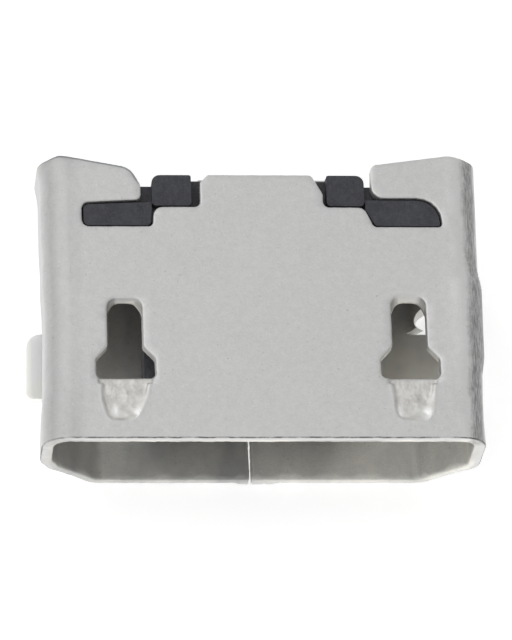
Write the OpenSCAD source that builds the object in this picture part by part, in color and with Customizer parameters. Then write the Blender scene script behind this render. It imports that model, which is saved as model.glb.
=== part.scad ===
// Micro-B size cable socket for a circuit board.
// One folded and pierced sheet shell, one moulded housing with a tongue,
// and five stamped contacts that end in solder tails.
//
// X runs across the socket, Y from the plug mouth to the rear, Z up from the board.
// The origin is on the board, under the middle of the socket's outline.
// The wide wall of the shell is on top and the narrow wall lies on the board.

/* [Shell] */
// Inside width of the plug opening
opening_w = 6.90; // [6.70:0.05:7.40]
// Inside height of the plug opening
opening_h = 1.85; // [1.80:0.01:2.10]
// Thickness of the sheet
sheet = 0.20; // [0.15:0.01:0.25]
// Depth of the shell, from the mouth to its rear corners
shell_depth = 5.05; // [4.95:0.01:6.00]
// Distance that each slanted wall covers across the shell, inside
slant_run = 0.76; // [0.60:0.01:0.85]
// Height of each slanted wall, inside
slant_rise = 0.76; // [0.70:0.01:0.90]
// Inside radius of the bends beside the wide wall
bend_wide = 0.28; // [0.20:0.01:0.30]
// Inside radius of the bends at the ends of a slanted wall
bend_slant = 0.30; // [0.20:0.01:0.40]

/* [Seam] */
// Open gap where the two edges of the sheet meet
seam_gap = 0.05; // [0.02:0.01:0.08]
// Distance of the seam to the left of the middle
seam_offset = 0.10; // [0.00:0.01:0.12]
// Distance from the mouth to the front of the dovetail lock
lock_front = 2.30; // [1.60:0.05:2.60]
// Length of the dovetail at its wide end
lock_wide = 0.90; // [0.70:0.05:1.10]
// Length of the dovetail at its narrow neck
lock_neck = 0.50; // [0.30:0.05:0.60]
// Reach of the dovetail across the seam
lock_reach = 0.55; // [0.30:0.05:0.80]

/* [Latch windows] */
// Distance between the middles of the two windows
window_spacing = 4.72; // [4.50:0.02:4.80]
// Distance of the two windows' common middle to the right of the shell's middle
window_offset = 0.07; // [0.00:0.01:0.08]
// Distance from the mouth to the front edge of a window
window_front = 1.07; // [0.90:0.01:1.20]
// Width of a window at its front
window_wide = 0.98; // [0.80:0.02:1.10]
// Length of the wide front part
window_wide_len = 0.33; // [0.25:0.01:0.45]
// Length of the slanted shoulders behind the wide part
window_shoulder = 0.22; // [0.10:0.01:0.30]
// Width of the stem behind the shoulders
window_stem = 0.58; // [0.40:0.02:0.70]
// Whole length of a window
window_len = 1.39; // [1.20:0.01:1.60]
// Corner radius of a window
window_corner = 0.09; // [0.04:0.01:0.12]

/* [Latch ramps] */
// Distance from the mouth to the shallow end of a ramp
ramp_front = 0.34; // [0.25:0.01:0.60]
// Width of a ramp at its shallow end
ramp_narrow = 0.46; // [0.30:0.02:0.60]
// Width of a ramp where it meets its window
ramp_wide = 0.80; // [0.60:0.02:0.90]
// Depth of a ramp where it meets its window
ramp_depth = 0.05; // [0.02:0.01:0.10]
// Corner radius at the shallow end of a ramp
ramp_corner = 0.14; // [0.08:0.01:0.15]

/* [Rear edge] */
// Left edge of the middle tab of the wide wall, measured from the middle
tab_left = 0.98; // [0.80:0.01:1.05]
// Right edge of the middle tab, measured from the middle
tab_right = 1.08; // [0.80:0.01:1.10]
// Set-back of the middle tab from the rear corners
tab_setback = 0.36; // [0.20:0.01:0.42]
// Width of the bevel at the left rear corner of the tab
tab_bevel_w_left = 0.13; // [0.05:0.01:0.20]
// Width of the bevel at the right rear corner of the tab
tab_bevel_w_right = 0.19; // [0.05:0.01:0.24]
// Length of the bevel at the left rear corner of the tab
tab_bevel_left = 0.15; // [0.10:0.01:0.30]
// Length of the bevel at the right rear corner of the tab
tab_bevel_right = 0.34; // [0.10:0.01:0.36]
// Set-back of the floor of the two notches
notch_setback = 0.94; // [0.88:0.01:1.00]
// Outer end of both notches, measured from the middle
notch_reach = 1.76; // [1.60:0.01:1.80]
// Set-back of the front edge of both slots
slot_setback = 1.29; // [1.24:0.01:1.40]
// Set-back of the rear edge of the left slot
slot_back_left = 0.81; // [0.75:0.01:0.84]
// How much further forward that edge lies at the slot's outer end
slot_slope_left = 0.05; // [0.00:0.01:0.08]
// Set-back of the rear edge of the right slot
slot_back_right = 0.77; // [0.70:0.01:0.80]
// Outer end of the left slot, measured from the middle
slot_reach_left = 2.96; // [2.70:0.02:3.06]
// Outer end of the right slot, measured from the middle
slot_reach_right = 3.06; // [2.80:0.02:3.06]
// Corner radius at the outer rear end of the left slot
slot_round_left = 0.12; // [0.08:0.01:0.24]
// Corner radius at the outer rear end of the right slot
slot_round_right = 0.42; // [0.08:0.01:0.44]
// Corner radius at the outer front end of the left slot
slot_front_left = 0.12; // [0.04:0.01:0.18]
// Corner radius at the outer front end of the right slot
slot_front_right = 0.07; // [0.04:0.01:0.10]
// Corner radius at the inner end of both slots
slot_corner = 0.08; // [0.04:0.01:0.08]
// Distance from the left notch's outer end to the left slot's inner end
slot_inner_left = 0.02; // [0.01:0.01:0.10]
// Distance from the right notch's outer end to the right slot's inner end
slot_inner_right = 0.16; // [0.05:0.01:0.20]
// Tip of the left corner hook, measured from the middle
hook_tip_left = 1.97; // [1.94:0.01:2.10]
// Tip of the right corner hook, measured from the middle
hook_tip_right = 1.89; // [1.86:0.01:2.00]
// Place of the rearmost corner on the left, measured from the middle
peak_left = 3.30; // [3.00:0.01:3.40]
// Place of the rearmost corner on the right, measured from the middle
peak_right = 3.20; // [3.00:0.01:3.40]
// Set-back of the rear edge of the left hook where its tip begins to round off
hook_slope_left = 0.22; // [0.05:0.01:0.24]
// Set-back of the rear edge of the right hook where its tip begins to round off
hook_slope_right = 0.17; // [0.05:0.01:0.20]
// Width of the rounded tip of the left hook
tip_w_left = 0.17; // [0.10:0.01:0.30]
// Width of the rounded tip of the right hook
tip_w_right = 0.06; // [0.04:0.01:0.20]
// Length of the rounded tip of the left hook
tip_len_left = 0.30; // [0.20:0.01:0.40]
// Length of the rounded tip of the right hook
tip_len_right = 0.08; // [0.06:0.01:0.20]
// Corner radius of the left hook on its slot side
hook_under_left = 0.13; // [0.04:0.01:0.16]
// Corner radius of the right hook on its slot side
hook_under_right = 0.20; // [0.04:0.01:0.24]
// Corner radius of the notches beside the tab
rear_corner = 0.10; // [0.04:0.01:0.11]
// Corner radius of the notches at their outer ends
notch_round = 0.16; // [0.08:0.01:0.18]
// Set-back of the rear edge of the side walls
side_setback = 0.05; // [0.04:0.01:0.35]
// Set-back of the rear edge of the narrow wall
narrow_setback = 1.04; // [0.90:0.01:1.10]

/* [Board feet] */
// Distance from tip to tip of the two feet
foot_span = 7.66; // [7.40:0.02:8.00]
// Distance from the mouth to the front edge of a foot
foot_front = 1.46; // [1.30:0.02:1.80]
// Length of a foot along the shell
foot_len = 1.17; // [0.80:0.01:1.40]
// Corner radius of a foot
foot_corner = 0.10; // [0.05:0.01:0.20]
// Distance from the end of the narrow wall to the relief slots
relief_start = 0.14; // [0.00:0.01:0.20]
// Width of the relief slot in front of a foot
relief_front = 0.20; // [0.15:0.01:0.30]
// Width of the relief slot behind a foot
relief_back = 0.40; // [0.20:0.01:0.50]

/* [Housing] */
// Clearance between the housing and the shell
housing_clear = 0.03; // [0.01:0.01:0.06]
// Set-back of the rear face of the housing
block_setback = 0.34; // [0.20:0.01:0.40]
// Depth of the rear block of the housing
block_len = 1.32; // [1.25:0.01:1.60]
// Half width of the rear part that stands out behind the hooks
back_half = 1.78; // [1.72:0.01:1.82]
// Step from that part's rear face to the faces beside it
back_step = 0.15; // [0.05:0.01:0.25]
// Drop of the housing's top under the middle tab
tab_relief = 0.15; // [0.05:0.01:0.25]
// Distance that the lugs stay below the shell's outer face
lug_drop = 0.05; // [0.00:0.01:0.12]
// Distance that the posts stay below the shell's outer face
post_drop = 0.08; // [0.00:0.01:0.15]
// Space between the middle tab and the left post
post_gap_left = 0.14; // [0.06:0.01:0.20]
// Space between the middle tab and the right post
post_gap_right = 0.07; // [0.06:0.01:0.20]
// Space between the floor of a notch and its post
post_gap_front = 0.05; // [0.03:0.01:0.10]
// Corner radius at the outer rear end of a post and of the block below it
post_round = 0.14; // [0.05:0.01:0.18]
// Corner radius of the lugs and posts
post_corner = 0.07; // [0.02:0.01:0.08]
// Width of the tongue
tongue_w = 3.90; // [3.50:0.05:4.00]
// Thickness of the tongue
tongue_thick = 0.64; // [0.55:0.01:0.70]
// Space between the tongue and the wide wall
tongue_gap = 0.31; // [0.25:0.01:0.36]
// Distance from the mouth to the tongue's front edge
tongue_front = 0.90; // [0.70:0.05:1.20]
// Bevel round the tongue's front edge
tongue_bevel = 0.12; // [0.05:0.01:0.18]
// Height of the gusset where the tongue meets the block
tongue_root = 0.20; // [0.10:0.01:0.28]
// Distance from the middle of an outer contact to the side of the heel under the block
heel_side = 0.38; // [0.25:0.01:0.45]

/* [Contacts] */
// Distance between neighbouring contacts
pitch = 0.65; // [0.62:0.01:0.70]
// Width of a contact
contact_w = 0.35; // [0.28:0.01:0.40]
// Thickness of a contact
contact_thick = 0.15; // [0.10:0.01:0.18]
// Distance that a contact stands out of the tongue's underside
contact_proud = 0.03; // [0.00:0.01:0.06]
// Distance from the tongue's front edge to the two long outer contacts
tip_long = 0.20; // [0.15:0.01:0.40]
// Distance from the tongue's front edge to the three short inner contacts
tip_short = 0.55; // [0.45:0.01:0.90]
// Inside radius of the bends of a contact
contact_bend = 0.10; // [0.06:0.01:0.14]
// Depth of a contact's upright part inside the housing's rear face
upright_inset = 0.12; // [0.05:0.01:0.20]
// Distance that the tails reach past the shell's rear corners
tail_overhang = 0.42; // [0.30:0.01:0.60]
// Clearance between a contact and its groove
contact_clear = 0.01; // [0.01:0.01:0.02]

/* [Hidden] */
$fn = 48;
contact_count = 5;
bend_steps = 8;
corner_steps = 5;
fillet_share = 0.96;

shell_w = opening_w + 2 * sheet;
shell_h = opening_h + 2 * sheet;
narrow_half = opening_w / 2 - slant_run;
slant_angle = atan2(slant_rise, slant_run);

// Length of flat sheet that a bend uses up on each side of its corner
take_low = bend_slant * tan(slant_angle / 2);
take_mid = bend_slant * tan((90 - slant_angle) / 2);

foot_back = foot_front + foot_len;
foot_root = narrow_half - take_low;
tail_end = shell_depth + tail_overhang;
centre_y = tail_end / 2;

block_back = shell_depth - block_setback;
block_front = block_back - block_len;
tongue_top = shell_h - sheet - tongue_gap;
tongue_low = tongue_top - tongue_thick;
blade_low = tongue_low - contact_proud;
blade_top = blade_low + contact_thick;
upright_back = block_back - upright_inset;

slot_front_y = shell_depth - slot_setback;
notch_y = shell_depth - notch_setback;
tab_y = shell_depth - tab_setback;
side_y = shell_depth - side_setback;

// How far a cutter runs past the material that it cuts
over = 0.4;
// How far a fused solid runs into its neighbour
bury = 0.1;

// Moves a piece drawn from the mouth plane to the part's origin
module seated() {
    translate([0, -centre_y, 0])
        children();
}

// Sector of sheet round one bend, with the bend's axis along Y.
// A positive turn bends the sheet up and a negative one bends it down.
module bend_sector(turn, radius, thick, width) {
    first = turn > 0 ? -90 : 90 + turn;
    rotate([90, 0, 0])
        rotate_extrude(start = first, angle = abs(turn))
            translate([radius, -width])
                square([thick, width]);
}

// Strip of sheet that runs along X and is bent at the end of each flat run.
// Each run is [flat length, turn in degrees, inside radius].
module folded_strip(runs, thick, width, step = 0) {
    if (step < len(runs)) {
        flat = runs[step][0];
        turn = runs[step][1];
        radius = runs[step][2];
        axis_z = turn > 0 ? thick + radius : -radius;
        cube([flat, width, thick]);
        if (turn != 0) {
            translate([flat, 0, axis_z]) {
                bend_sector(turn, radius, thick, width);
                rotate([0, -turn, 0])
                    translate([0, 0, -axis_z])
                        folded_strip(runs, thick, width, step + 1);
            }
        }
    }
}

function unit(v) = v / norm(v);
function plan(corner) = [corner[0], corner[1]];

// Most of the edge between two corners [x, y, radius] that the first one's fillet may take
function room(corner, other) =
    norm(plan(other) - plan(corner)) * fillet_share * corner[2] / (corner[2] + other[2]);

// Points of one corner [x, y, radius], rounded between its two neighbours
function rounded_corner(before, corner, after, steps) =
    let (
        p = plan(corner),
        a = plan(before) - p,
        b = plan(after) - p,
        half = acos(unit(a) * unit(b)) / 2,
        take = min(corner[2] / tan(half), room(corner, before), room(corner, after)),
        r = take * tan(half),
        centre = p + unit(unit(a) + unit(b)) * r / sin(half),
        first = p + unit(a) * take - centre,
        last = p + unit(b) * take - centre,
        start = atan2(first[1], first[0]),
        sweep = (atan2(last[1], last[0]) - start + 540) % 360 - 180
    )
    [
        for (k = [0 : steps])
            let (at = start + sweep * k / steps)
                centre + r * [cos(at), sin(at)]
    ];

// Outline through corners [x, y, radius], each rounded by its own radius
function rounded_outline(corners, steps = corner_steps) =
    let (n = len(corners))
    [
        for (i = [0 : n - 1])
            each corners[i][2] == 0
                ? [plan(corners[i])]
                : rounded_corner(corners[(i + n - 1) % n], corners[i], corners[(i + 1) % n], steps)
    ];

// The same corners on the other side, in the opposite order
function mirrored(corners) = [
    for (i = [len(corners) - 1 : -1 : 0])
        [-corners[i][0], corners[i][1], corners[i][2]]
];

// Outline of the plug opening in X and Z, moved outwards by t, with the bends' radii
function section(t) =
    let (
        half = opening_w / 2 + t,
        right = [
            [half, sheet + opening_h + t, bend_wide + t],
            [half, sheet + slant_rise - t * tan((90 - slant_angle) / 2), bend_slant + t],
            [narrow_half + t * tan(slant_angle / 2), sheet - t, bend_slant + t]
        ]
    )
    rounded_outline(concat(right, mirrored(right)), bend_steps);

// Extrudes an outline drawn in X and Z from one depth to another
module along_y(from, to) {
    translate([0, to, 0])
        rotate([90, 0, 0])
            linear_extrude(to - from)
                children();
}

// Extrudes an outline through the wide wall alone
module through_wide_wall() {
    translate([0, 0, shell_h - sheet - over / 2])
        linear_extrude(sheet + over)
            children();
}

// Extrudes an outline through the narrow wall alone
module through_narrow_wall() {
    translate([0, 0, -over / 2])
        linear_extrude(sheet + over)
            children();
}

// T-shaped latch window, wide at the front, with its middle on X = 0
module window_outline() {
    wide = window_wide / 2;
    stem = window_stem / 2;
    y0 = window_front;
    y1 = y0 + window_wide_len;
    y2 = y1 + window_shoulder;
    y3 = y0 + window_len;
    r = window_corner;
    right = [[wide, y0, r], [wide, y1, r], [stem, y2, r], [stem, y3, r]];
    polygon(rounded_outline(concat(right, mirrored(right))));
}

// Outline of a coined ramp in front of a window, rounded at its shallow end
module ramp_outline() {
    wide = ramp_wide / 2;
    right = [
        [ramp_narrow / 2, ramp_front, ramp_corner],
        [wide, window_front, 0],
        [wide, window_front + over, 0]
    ];
    polygon(rounded_outline(concat(right, mirrored(right))));
}

// Material that the ramp takes out, from flush at its front to full depth at the window
module ramp_wedge() {
    end_y = window_front + window_corner;
    end_depth = ramp_depth * (end_y - ramp_front) / (window_front - ramp_front);
    intersection() {
        translate([0, 0, shell_h - sheet / 2])
            linear_extrude(sheet)
                ramp_outline();
        translate([-ramp_wide, 0, 0])
            rotate([90, 0, 90])
                linear_extrude(2 * ramp_wide)
                    polygon([
                        [ramp_front, shell_h], [end_y, shell_h - end_depth],
                        [end_y, shell_h + over], [ramp_front, shell_h + over]
                    ]);
    }
}

// Corners of the tab and the notch beside it: tab edge, width and length of the tab's bevel
function notch_corners(tab, wide, length) = [
    [tab - wide, tab_y, wide / 2],
    [tab, tab_y - length, wide / 2],
    [tab, notch_y, rear_corner],
    [notch_reach, notch_y, notch_round]
];

// Corners of a slot: inner end, outer end, set-back and slope of its rear edge,
// corner radius at its outer front and outer rear ends, hook tip and radius under the hook
function slot_corners(inner, reach, setback, slope, front_r, back_r, tip, under_r) = [
    [notch_reach + inner, slot_front_y, slot_corner],
    [reach, slot_front_y, front_r],
    [reach, shell_depth - setback - slope, back_r],
    [tip, shell_depth - setback, under_r]
];

// Corners of a hook's rounded tip and rear edge: tip, width and length of its rounding,
// set-back behind the tip and place of the rearmost corner
function hook_corners(tip, wide, length, slope, peak) = [
    [tip, shell_depth - slope - length, length],
    [tip + wide, shell_depth - slope, length],
    [peak, shell_depth, 0],
    [opening_w / 2, side_y, 0],
    [shell_w / 2 + over, side_y, 0],
    [shell_w / 2 + over, shell_depth + over, 0]
];

slot_right = slot_corners(
    slot_inner_right, slot_reach_right, slot_back_right, 0,
    slot_front_right, slot_round_right, hook_tip_right, hook_under_right
);
slot_left = slot_corners(
    slot_inner_left, slot_reach_left, slot_back_left, slot_slope_left,
    slot_front_left, slot_round_left, hook_tip_left, hook_under_left
);
rear_right = concat(
    notch_corners(tab_right, tab_bevel_w_right, tab_bevel_right), slot_right,
    hook_corners(hook_tip_right, tip_w_right, tip_len_right, hook_slope_right, peak_right)
);
rear_left = concat(
    notch_corners(tab_left, tab_bevel_w_left, tab_bevel_left), slot_left,
    hook_corners(hook_tip_left, tip_w_left, tip_len_left, hook_slope_left, peak_left)
);

// Everything behind the rear edge of the wide wall and of the bends beside it
module rear_cut() {
    low = shell_h - sheet - bend_wide;
    translate([0, 0, low])
        linear_extrude(shell_h + over - low)
            polygon(rounded_outline(concat(rear_right, mirrored(rear_left))));
}

// Sloping rear edge of the side, slanted and narrow walls, seen from the side
module rear_slope_cut() {
    far_y = shell_depth + over;
    narrow_y = shell_depth - narrow_setback;
    slant_top = sheet + slant_rise;
    translate([-shell_w, 0, 0])
        rotate([90, 0, 90])
            linear_extrude(2 * shell_w)
                polygon([
                    [narrow_y, -over], [narrow_y, sheet + bury],
                    [side_y, slant_top], [side_y, shell_h - sheet - bend_wide / 2],
                    [far_y, shell_h - sheet - bend_wide / 2], [far_y, -over]
                ]);
}

// One edge of the seam from the mouth to the rear, moved to the right by e,
// with the dovetail's flanks kept at that distance too
function seam_edge(e) =
    let (
        taper = (lock_wide - lock_neck) / 2,
        flank = sqrt(lock_reach * lock_reach + taper * taper),
        shift = e * (taper + flank) / lock_reach,
        y1 = lock_front,
        y2 = lock_front + lock_wide
    )
    [
        [e, -over], [e, y1 + taper - shift], [lock_reach + e, y1 - shift],
        [lock_reach + e, y2 + shift], [e, y2 - taper + shift], [e, shell_depth + over]
    ];

// Gap between the two edges of the sheet
module seam_cut() {
    right = seam_edge(seam_gap / 2);
    left = seam_edge(-seam_gap / 2);
    translate([-seam_offset, 0, 0])
        through_narrow_wall()
            polygon(concat(right, [for (i = [len(left) - 1 : -1 : 0]) left[i]]));
}

// The folded ring, parted at the seam and longer at the rear than the rear cuts leave it
module shell_ring() {
    difference() {
        along_y(0, shell_depth + bury)
            polygon(section(sheet));
        along_y(-over, shell_depth + over)
            polygon(section(0));
        seam_cut();
    }
}

// Opening that a board foot leaves in the slanted wall, with a round-ended relief slot each side
module foot_window() {
    y0 = foot_front - relief_front;
    y1 = foot_back + relief_back;
    top = sheet + slant_rise - take_mid / 2;
    translate([narrow_half + relief_start, y0, -over]) {
        translate([relief_back / 2, 0, 0])
            cube([shell_w, y1 - y0, top + over]);
        translate([relief_back / 2, y1 - y0 - relief_back / 2, 0])
            cylinder(d = relief_back, h = top + over);
        translate([relief_back / 2, relief_front / 2, 0])
            cylinder(d = relief_front, h = top + over);
    }
    translate([foot_root, foot_front, -over])
        cube([shell_w, foot_len, top + over]);
}

// Flat solder foot, level with the narrow wall
module foot() {
    root = foot_root - bury;
    tip = foot_span / 2;
    linear_extrude(sheet)
        polygon(rounded_outline([
            [root, foot_front, 0], [tip, foot_front, foot_corner],
            [tip, foot_back, foot_corner], [root, foot_back, 0]
        ]));
}

module shell() {
    color("silver")
        seated() {
            difference() {
                shell_ring();
                for (side = [-1, 1])
                    translate([window_offset + side * window_spacing / 2, 0, 0]) {
                        through_wide_wall()
                            window_outline();
                        ramp_wedge();
                    }
                rear_cut();
                rear_slope_cut();
                foot_window();
                mirror([1, 0, 0])
                    foot_window();
            }
            foot();
            mirror([1, 0, 0])
                foot();
        }
}

// Plan outline of the rear block, with the rounded corners of the part that stands out
module block_outline() {
    step_y = block_back - back_step;
    right = [
        [shell_w, block_front - over, 0],
        [shell_w, step_y, 0],
        [back_half, step_y, 0],
        [back_half, block_back, post_round]
    ];
    polygon(rounded_outline(concat(right, mirrored(right))));
}

// Rear block that fills the shell behind the plug space
module block() {
    narrow_y = shell_depth - narrow_setback + housing_clear;
    difference() {
        intersection() {
            along_y(block_front, block_back + over)
                polygon(section(-housing_clear));
            linear_extrude(shell_h)
                block_outline();
        }
        translate([-tab_left - post_gap_left, notch_y, shell_h - sheet - tab_relief])
            cube([tab_left + tab_right + post_gap_left + post_gap_right, shell_depth, shell_h]);
    }
    heel_half = contact_x(contact_count - 1) + heel_side;
    translate([-heel_half, narrow_y, 0])
        cube([2 * heel_half, block_back - narrow_y, sheet + housing_clear + bury]);
}

// Outline of the lug that stands in one slot of the wide wall, on the right side
module lug_outline(slot) {
    c = housing_clear;
    inner = slot[0][0];
    outer = slot[2][0] - c;
    front_y = slot_front_y + c;
    back_y = slot[3][1] - c;
    polygon(rounded_outline([
        [inner + c, front_y, slot_corner],
        [outer, front_y, slot[1][2] - c],
        [outer, slot[2][1] - c, slot[2][2] - c],
        [slot[3][0], back_y, 0],
        [notch_reach + c, back_y, 0],
        [notch_reach + c, notch_y - c, 0]
    ]));
}

// Outline of the post that stands in the notch beside it
module post_outline(tab, gap) {
    inner = tab + gap;
    front_y = notch_y + post_gap_front;
    polygon(rounded_outline([
        [inner, front_y, post_corner],
        [back_half, front_y, post_corner],
        [back_half, block_back, post_round],
        [inner, block_back, post_corner / 2]
    ]));
}

// A lug and the post beside it, raised from the top of the block
module lug_and_post(slot, tab, gap) {
    base = shell_h - sheet - bury;
    translate([0, 0, base]) {
        linear_extrude(shell_h - lug_drop - base)
            lug_outline(slot);
        linear_extrude(shell_h - post_drop - base)
            post_outline(tab, gap);
    }
}

module lugs_and_posts() {
    lug_and_post(slot_right, tab_right, post_gap_right);
    mirror([1, 0, 0])
        lug_and_post(slot_left, tab_left, post_gap_left);
}

// Tongue that carries the contacts, with a bevelled front and a gusset at its root
module tongue() {
    half = tongue_w / 2;
    difference() {
        translate([-half, 0, 0])
            rotate([90, 0, 90])
                linear_extrude(tongue_w)
                    polygon([
                        [tongue_front, tongue_low + tongue_bevel],
                        [tongue_front + tongue_bevel, tongue_low],
                        [block_front, tongue_low], [block_front + over, tongue_low],
                        [block_front + over, tongue_top + tongue_root],
                        [block_front, tongue_top + tongue_root],
                        [block_front - tongue_root, tongue_top],
                        [tongue_front + tongue_bevel, tongue_top],
                        [tongue_front, tongue_top - tongue_bevel]
                    ]);
        for (side = [0, 1])
            mirror([side, 0, 0])
                translate([0, 0, tongue_low - over])
                    linear_extrude(tongue_thick + 2 * over)
                        polygon([
                            [half - tongue_bevel, tongue_front - over],
                            [half - tongue_bevel, tongue_front],
                            [half, tongue_front + tongue_bevel],
                            [half + over, tongue_front + tongue_bevel],
                            [half + over, tongue_front - over]
                        ]);
    }
}

// How far back from the tongue's front edge contact number i ends
function tip_inset(i) = (i == 0 || i == contact_count - 1) ? tip_long : tip_short;

// Middle of contact number i, counted from the left
function contact_x(i) = (i - (contact_count - 1) / 2) * pitch;

// Groove for contact number i: along the tongue, through the block and down its rear face
module contact_groove(i) {
    c = contact_clear;
    wide = contact_w + 2 * c;
    tip_y = tongue_front + tip_inset(i);
    upright_front = upright_back - contact_thick;
    corner = contact_bend + contact_thick;
    translate([contact_x(i) - wide / 2, 0, 0]) {
        translate([0, tip_y - c, blade_low - c])
            cube([wide, block_back + over - tip_y, contact_thick + 2 * c]);
        translate([0, upright_front - c, -over])
            cube([wide, block_back + over - upright_front, blade_low + over]);
        translate([0, upright_front - corner, blade_low - corner])
            cube([wide, corner + over, corner]);
    }
}

module housing() {
    color([0.25, 0.25, 0.27])
        seated()
            difference() {
                union() {
                    block();
                    lugs_and_posts();
                    tongue();
                }
                for (i = [0 : contact_count - 1])
                    contact_groove(i);
            }
}

// Stamped contact number i: blade on the tongue, upright behind the block, tail on the board
module contact(i) {
    tip_y = tongue_front + tip_inset(i);
    turn_take = contact_bend + contact_thick;
    blade_len = upright_back - turn_take - tip_y;
    drop_len = blade_top - 2 * contact_bend - contact_thick;
    drop_flat = drop_len - contact_thick;
    tail_len = tail_end - upright_back - contact_bend;
    runs = [
        [blade_len, -90, contact_bend],
        [drop_flat, 90, contact_bend],
        [tail_len, 0, 0]
    ];
    color("gold")
        seated()
            translate([contact_x(i) + contact_w / 2, tip_y, blade_low])
                rotate([0, 0, 90])
                    folded_strip(runs, contact_thick, contact_w);
}

shell();
housing();
contact(0);  // contact_power
contact(1);  // contact_data_minus
contact(2);  // contact_data_plus
contact(3);  // contact_ident
contact(4);  // contact_ground
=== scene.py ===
"""Looks of a cable socket for a circuit board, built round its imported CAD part.

Lengths in the code are in mm and depths along the socket (y) start at the plug mouth,
as in the CAD source. They become metres in the part's own frame when a mesh is made.
"""
import math

import bpy
import numpy as np
from mathutils import Matrix, Vector, geometry, kdtree, noise


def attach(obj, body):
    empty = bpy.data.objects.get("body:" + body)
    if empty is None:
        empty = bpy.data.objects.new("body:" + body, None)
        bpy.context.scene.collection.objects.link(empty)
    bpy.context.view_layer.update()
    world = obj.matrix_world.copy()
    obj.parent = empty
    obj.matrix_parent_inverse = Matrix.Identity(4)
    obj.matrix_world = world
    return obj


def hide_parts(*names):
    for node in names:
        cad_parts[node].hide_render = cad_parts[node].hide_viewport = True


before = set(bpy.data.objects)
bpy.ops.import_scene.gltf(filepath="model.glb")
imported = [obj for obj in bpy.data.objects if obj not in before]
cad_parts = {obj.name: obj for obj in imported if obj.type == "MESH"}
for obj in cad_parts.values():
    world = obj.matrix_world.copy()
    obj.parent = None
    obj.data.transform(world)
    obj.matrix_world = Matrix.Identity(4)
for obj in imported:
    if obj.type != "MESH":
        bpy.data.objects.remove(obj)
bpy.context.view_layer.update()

MM = 0.001
# Depth of the frame's origin behind the plug mouth
CENTRE_Y = 2.735

# Sizes of the shell, as in the CAD source
OPENING_W, OPENING_H, SHEET, DEPTH = 6.90, 1.85, 0.20, 5.05
SLANT_RUN, SLANT_RISE = 0.76, 0.76
BEND_WIDE, BEND_SLANT = 0.28, 0.30
SHELL_H = OPENING_H + 2 * SHEET
NARROW_HALF = OPENING_W / 2 - SLANT_RUN
SLANT = math.atan2(SLANT_RISE, SLANT_RUN)
SEAM_GAP, SEAM_X = 0.03, -0.10
LOCK_FRONT, LOCK_WIDE, LOCK_NECK, LOCK_REACH = 2.30, 0.90, 0.50, 0.55
WINDOW_X, WINDOW_SHIFT = 2.36, 0.07
WINDOW_FRONT, WINDOW_WIDE, WINDOW_WIDE_LEN = 1.07, 0.98, 0.33
WINDOW_SHOULDER, WINDOW_STEM, WINDOW_LEN, WINDOW_CORNER = 0.22, 0.58, 1.39, 0.09
RAMP_FRONT, RAMP_DEPTH, RAMP_CORNER = 0.315, 0.05, 0.14
TAB_Y, NOTCH_Y, SLOT_Y = DEPTH - 0.36, DEPTH - 0.94, DEPTH - 1.29
NOTCH_REACH, NOTCH_ROUND, REAR_CORNER = 1.76, 0.16, 0.10
SIDE_Y, NARROW_Y = DEPTH - 0.05, DEPTH - 1.04
FLAT_END = OPENING_W / 2 - BEND_WIDE
FOOT_FRONT, FOOT_BACK, FOOT_TIP = 1.46, 2.63, 3.83
RELIEF_START, RELIEF_FRONT, RELIEF_BACK = NARROW_HALF + 0.14, 0.20, 0.40

# Rear edge of the wide wall from its rearmost corner to the tab, as x, y and corner radius
REAR_RIGHT = (
    (3.20, DEPTH, 0.30), (1.95, DEPTH - 0.17, 0.08), (1.89, DEPTH - 0.25, 0.08),
    (1.89, DEPTH - 0.77, 0.20), (3.06, DEPTH - 0.77, 0.42), (3.06, SLOT_Y, 0.07),
    (NOTCH_REACH + 0.16, SLOT_Y, 0.08), (NOTCH_REACH, NOTCH_Y, NOTCH_ROUND),
    (1.08, NOTCH_Y, REAR_CORNER), (1.08, TAB_Y - 0.34, 0.095), (0.89, TAB_Y, 0.095))
REAR_LEFT = (
    (3.30, DEPTH, 0.12), (2.14, DEPTH - 0.22, 0.30), (1.97, DEPTH - 0.52, 0.30),
    (1.97, DEPTH - 0.81, 0.13), (2.96, DEPTH - 0.86, 0.12), (2.96, SLOT_Y, 0.12),
    (NOTCH_REACH + 0.02, SLOT_Y, 0.08), (NOTCH_REACH, NOTCH_Y, NOTCH_ROUND),
    (0.98, NOTCH_Y, REAR_CORNER), (0.98, TAB_Y - 0.15, 0.065), (0.85, TAB_Y, 0.065))

# Length of flat sheet that a bend uses up on each side of its corner
TAKE_LOW = BEND_SLANT * math.tan(SLANT / 2)
TAKE_MID = BEND_SLANT * math.tan((math.pi / 2 - SLANT) / 2)


# The folded sheet. Its points are given by s, the distance round the ring from the middle of
# the wide wall, by the depth y and by the depth t under the outer skin.

def make_runs():
    """Flats and bends of half the ring, from the middle of the wide wall round to the seam.

    Each is its start, length, start point x and z, heading (clockwise), outer radius and turn.
    """
    runs = []
    s, x, z, heading = 0.0, 0.0, SHELL_H, 0.0
    slant_len = math.hypot(SLANT_RISE, SLANT_RUN)
    for flat, turn, radius in (
            (FLAT_END, math.pi / 2, BEND_WIDE),
            (OPENING_H - SLANT_RISE - TAKE_MID - BEND_WIDE, math.pi / 2 - SLANT, BEND_SLANT),
            (slant_len - TAKE_LOW - TAKE_MID, SLANT, BEND_SLANT),
            (NARROW_HALF - TAKE_LOW, 0.0, 0.0)):
        runs.append((s, flat, x, z, heading, 0.0, 0.0))
        s += flat
        x += flat * math.cos(heading)
        z -= flat * math.sin(heading)
        if turn:
            outer = radius + SHEET
            arc = turn * (radius + SHEET / 2)
            runs.append((s, arc, x, z, heading, outer, turn))
            cx = x - outer * math.sin(heading)
            cz = z - outer * math.cos(heading)
            heading += turn
            s += arc
            x = cx + outer * math.sin(heading)
            z = cz + outer * math.cos(heading)
    return runs, s


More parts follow.
